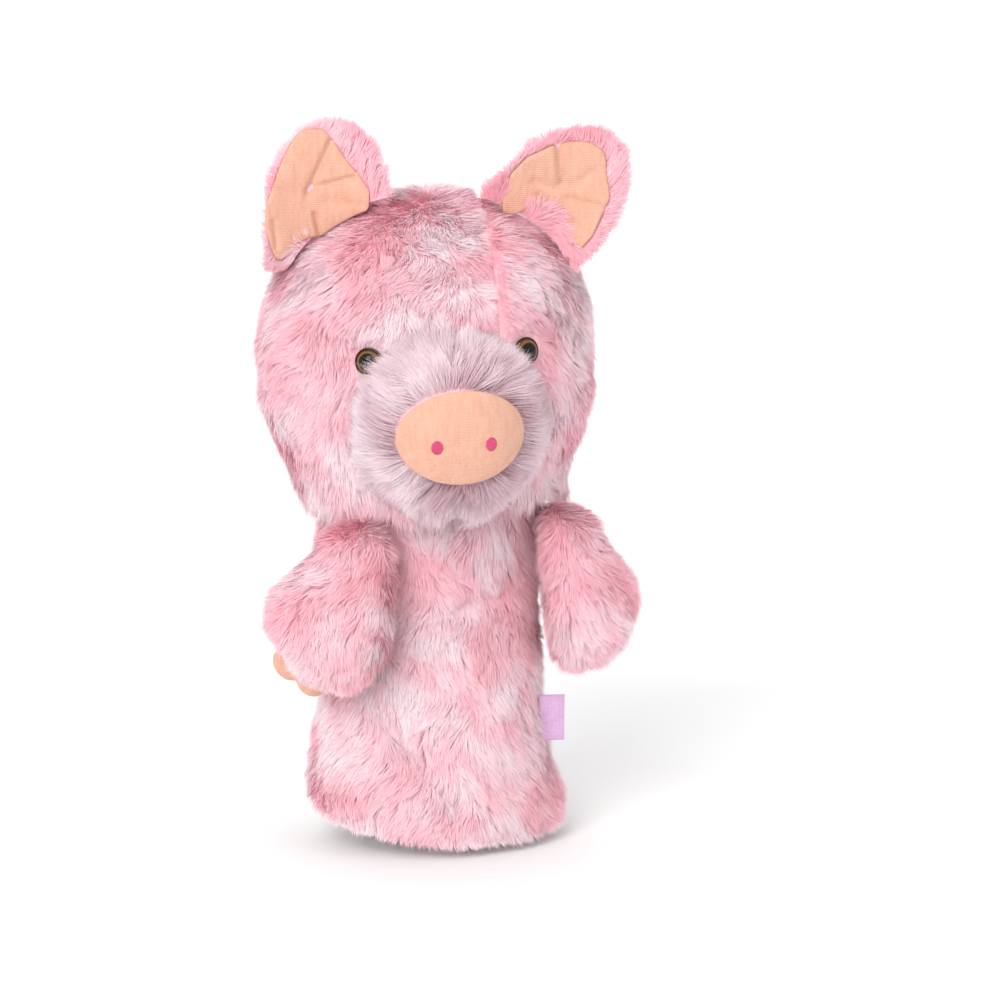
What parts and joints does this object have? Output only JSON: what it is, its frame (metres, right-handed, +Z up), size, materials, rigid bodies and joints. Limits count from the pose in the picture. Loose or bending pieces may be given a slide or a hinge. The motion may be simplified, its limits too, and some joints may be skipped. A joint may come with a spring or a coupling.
{
  "type": "driver head cover",
  "caption": "Plush animal-head cover for a golf driver: padded head pocket, furry sleeve with elastic grip band, flopping ears and swinging arms.",
  "frame": {"origin": "centre of the elastic grip band, on the axis of the club's shaft", "axes": "+Z up the shaft to the crown of the head, -Y the way the face looks, +X to the animal's left"},
  "size_m": [0.2017, 0.1971, 0.3901],
  "materials": {
    "pink_plush": "long soft pile",
    "pale_plush": "long soft pile",
    "peach_velour": "short ribbed pile",
    "magenta_thread": "satin stitch",
    "eye_plastic": "high gloss",
    "washer_plastic": "matte",
    "lining_cloth": "plain weave",
    "fibre_fill": "loose fibre",
    "white_elastic": "ribbed",
    "lilac_ribbon": "woven ribbon"
  },
  "bodies": {
    "sleeve": {"front_sleeve_panel": "pink_plush", "back_sleeve_panel": "pink_plush", "hem_facing": "pale_plush", "lower_lining": "lining_cloth", "upper_lining": "lining_cloth", "elastic_grip_band": "white_elastic"},
    "head": {"forehead_gusset": "pink_plush", "left_head_side": "pink_plush", "right_head_side": "pink_plush", "nape_panel": "pink_plush", "throat_panel": "pink_plush", "head_padding": "fibre_fill", "head_pocket_lining": "lining_cloth", "muzzle_cover": "pale_plush", "muzzle_filling": "fibre_fill", "snout_pad": "peach_velour", "left_nostril": "magenta_thread", "right_nostril": "magenta_thread", "left_eye": "eye_plastic", "right_eye": "eye_plastic", "left_eye_washer": "washer_plastic", "right_eye_washer": "washer_plastic"},
    "left_ear": {"left_ear_fur": "pink_plush", "left_ear_velour": "peach_velour"},
    "right_ear": {"right_ear_fur": "pink_plush", "right_ear_velour": "peach_velour"},
    "left_arm": {"left_arm_fur": "pink_plush", "left_arm_filling": "fibre_fill", "left_trotter": "peach_velour"},
    "right_arm": {"right_arm_fur": "pink_plush", "right_arm_filling": "fibre_fill", "right_trotter": "peach_velour"},
    "label": {"side_label": "lilac_ribbon"}
  },
  "joints": [
    {"name": "head_tilt", "type": "hinge", "parent": "sleeve", "child": "head", "pos_m": [0, 0, 0.061], "axis": [0, 1, 0], "range_deg": [-2, 10], "stiffness_Nm_per_rad": 1.5},
    {"name": "left_ear_flop", "type": "hinge", "parent": "head", "child": "left_ear", "pos_m": [0.05298, -0.016, 0.20374], "axis": [0.712, 0, -0.7022], "range_deg": [-18, 15], "stiffness_Nm_per_rad": 0.03},
    {"name": "right_ear_flop", "type": "hinge", "parent": "head", "child": "right_ear", "pos_m": [-0.05807, -0.016, 0.20425], "axis": [0.998, 0, -0.0628], "range_deg": [-18, 15], "stiffness_Nm_per_rad": 0.03},
    {"name": "left_arm_lift", "type": "hinge", "parent": "sleeve", "child": "left_arm", "pos_m": [0.05978, -0.03278, 0.047], "axis": [-0.3746, -0.9272, 0], "range_deg": [-2, 40], "stiffness_Nm_per_rad": 0.08},
    {"name": "right_arm_lift", "type": "hinge", "parent": "sleeve", "child": "right_arm", "pos_m": [-0.04329, -0.04664, 0.044], "axis": [-0.848, 0.5299, 0], "range_deg": [0, 45], "stiffness_Nm_per_rad": 0.08},
    {"name": "label_fold", "type": "hinge", "parent": "sleeve", "child": "label", "pos_m": [0.05924, -0.02, -0.064], "axis": [0, 0, 1], "range_deg": [-40, 40], "stiffness_Nm_per_rad": 0.0006}
  ]
}
